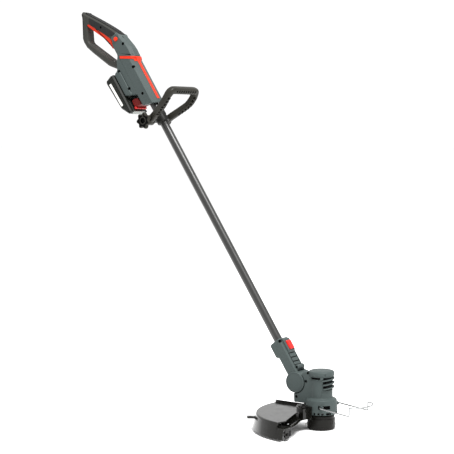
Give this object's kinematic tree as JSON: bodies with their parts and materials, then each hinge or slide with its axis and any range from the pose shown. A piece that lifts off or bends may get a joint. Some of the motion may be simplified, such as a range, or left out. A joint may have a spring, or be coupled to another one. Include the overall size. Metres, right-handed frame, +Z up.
{
  "type": "string trimmer",
  "caption": "Battery string trimmer: rear grip with trigger, slide-on pack, shaft with clamped front loop handle, tilting motor head, line spool, debris guard and folding wire edge guard.",
  "frame": {"origin": "centre of the rear grip, where the hand closes round it", "axes": "+X forward, away from the user; +Y to the user's left; +Z up, along the upright spool's axis, with the shaft leaning back 33 degrees in the X-Z plane"},
  "size_m": [0.8898, 0.2631, 1.0603],
  "materials": {
    "housing": "moulded, fine spark-eroded texture",
    "soft_grip": "soft overmould",
    "orange_trim": "moulded, satin",
    "red_button": "moulded, glossy",
    "black_plastic": "moulded, satin",
    "guard_plastic": "moulded, glossy",
    "tube_finish": "black coat on aluminium",
    "bright_steel": "drawn and plated",
    "dark_steel": "blackened",
    "circuit_board": "solder mask",
    "contacts": "stamped blades in a moulded block",
    "cell_wrap": "shrink sleeve",
    "nylon_line": "extruded"
  },
  "bodies": {
    "handle": {"handle_shell_left": "housing", "handle_shell_right": "housing", "grip_overmould": "soft_grip", "trim_band": "orange_trim", "grip_screw": "dark_steel", "nose_screw": "dark_steel", "upper_body_screw": "dark_steel", "rear_body_screw": "dark_steel", "foot_screw": "dark_steel", "tube_screw": "dark_steel", "trigger_pin": "bright_steel", "trigger_switch": "black_plastic", "control_board": "circuit_board", "terminal_block": "contacts", "shaft_tube": "tube_finish", "shaft_cable": "black_plastic", "retaining_ring": "dark_steel"},
    "trigger": {"trigger": "orange_trim"},
    "lock_off": {"lock_off_button": "orange_trim"},
    "battery": {"battery_case": "black_plastic", "battery_cover": "black_plastic", "cell_pack": "cell_wrap"},
    "latch": {"battery_latch": "red_button"},
    "clamp": {"handle_clamp": "black_plastic"},
    "assist": {"assist_handle": "black_plastic", "clamp_nut": "bright_steel"},
    "knob": {"clamp_knob": "black_plastic", "clamp_bolt": "bright_steel"},
    "coupling": {"coupling_shell_left": "housing", "coupling_shell_right": "housing", "hinge_pin": "bright_steel", "coupling_screw_upper": "dark_steel", "coupling_screw_lower": "dark_steel"},
    "turn_button": {"rotation_button": "red_button"},
    "head": {"motor_housing_left": "housing", "motor_housing_right": "housing", "motor_cap": "housing", "motor_can": "bright_steel", "motor_plate": "dark_steel", "head_screw_upper": "dark_steel", "head_screw_middle": "dark_steel", "head_screw_lower": "dark_steel", "guard": "guard_plastic", "guard_screw_1": "dark_steel", "guard_screw_2": "dark_steel", "line_cutter": "bright_steel", "cutter_screw": "dark_steel"},
    "edge_wire": {"wire_guard": "bright_steel"},
    "spinner": {"motor_shaft": "bright_steel", "cooling_fan": "black_plastic", "drive_hub": "bright_steel", "spool_housing": "black_plastic", "spool_cap": "black_plastic", "spool_spring": "bright_steel", "line_eyelet_1": "bright_steel", "line_eyelet_2": "bright_steel", "cutting_line": "nylon_line"},
    "bobbin": {"line_spool": "black_plastic", "wound_line": "nylon_line"}
  },
  "joints": [
    {"name": "trigger_press", "type": "hinge", "parent": "handle", "child": "trigger", "pos_m": [-0.06647, 0, 0.03076], "axis": [0, -1, 0], "range_deg": [0, 3.5], "stiffness_Nm_per_rad": 0.5},
    {"name": "lock_off_push", "type": "slide", "parent": "handle", "child": "lock_off", "axis": [0, 1, 0], "range_m": [-0.003, 0.003], "stiffness_N_per_m": 400},
    {"name": "battery_slide", "type": "slide", "parent": "handle", "child": "battery", "axis": [0.5446, 0, -0.8387], "range_m": [0, 0.066]},
    {"name": "latch_press", "type": "slide", "parent": "battery", "child": "latch", "axis": [-0.8387, 0, -0.5446], "range_m": [0, 0.003], "stiffness_N_per_m": 800},
    {"name": "clamp_slide", "type": "slide", "parent": "handle", "child": "clamp", "axis": [-0.5446, 0, 0.8387], "range_m": [-0.28, 0.015]},
    {"name": "assist_tilt", "type": "hinge", "parent": "clamp", "child": "assist", "pos_m": [0.15895, 0, -0.24018], "axis": [0, 1, 0], "range_deg": [-50, 45]},
    {"name": "knob_turn", "type": "hinge", "parent": "clamp", "child": "knob", "pos_m": [0.15895, 0, -0.24018], "axis": [0, 1, 0], "continuous": true},
    {"name": "shaft_turn", "type": "hinge", "parent": "handle", "child": "coupling", "pos_m": [0.60004, 0, -0.89093], "axis": [-0.5446, 0, 0.8387], "range_deg": [0, 180]},
    {"name": "turn_button_press", "type": "slide", "parent": "coupling", "child": "turn_button", "axis": [-0.8387, 0, -0.5446], "range_m": [0, 0.003], "stiffness_N_per_m": 400},
    {"name": "head_tilt", "type": "hinge", "parent": "coupling", "child": "head", "pos_m": [0.60004, 0, -0.89093], "axis": [0, 1, 0], "range_deg": [-20, 45]},
    {"name": "edge_wire_fold", "type": "hinge", "parent": "head", "child": "edge_wire", "pos_m": [0.68444, 0, -0.94443], "axis": [0, -1, 0], "range_deg": [0, 95]},
    {"name": "spool_spin", "type": "hinge", "parent": "head", "child": "spinner", "pos_m": [0.66244, 0, -0.98503], "axis": [0, 0, 1], "continuous": true},
    {"name": "bobbin_index", "type": "hinge", "parent": "spinner", "child": "bobbin", "pos_m": [0.66244, 0, -0.98503], "axis": [0, 0, 1], "continuous": true}
  ]
}
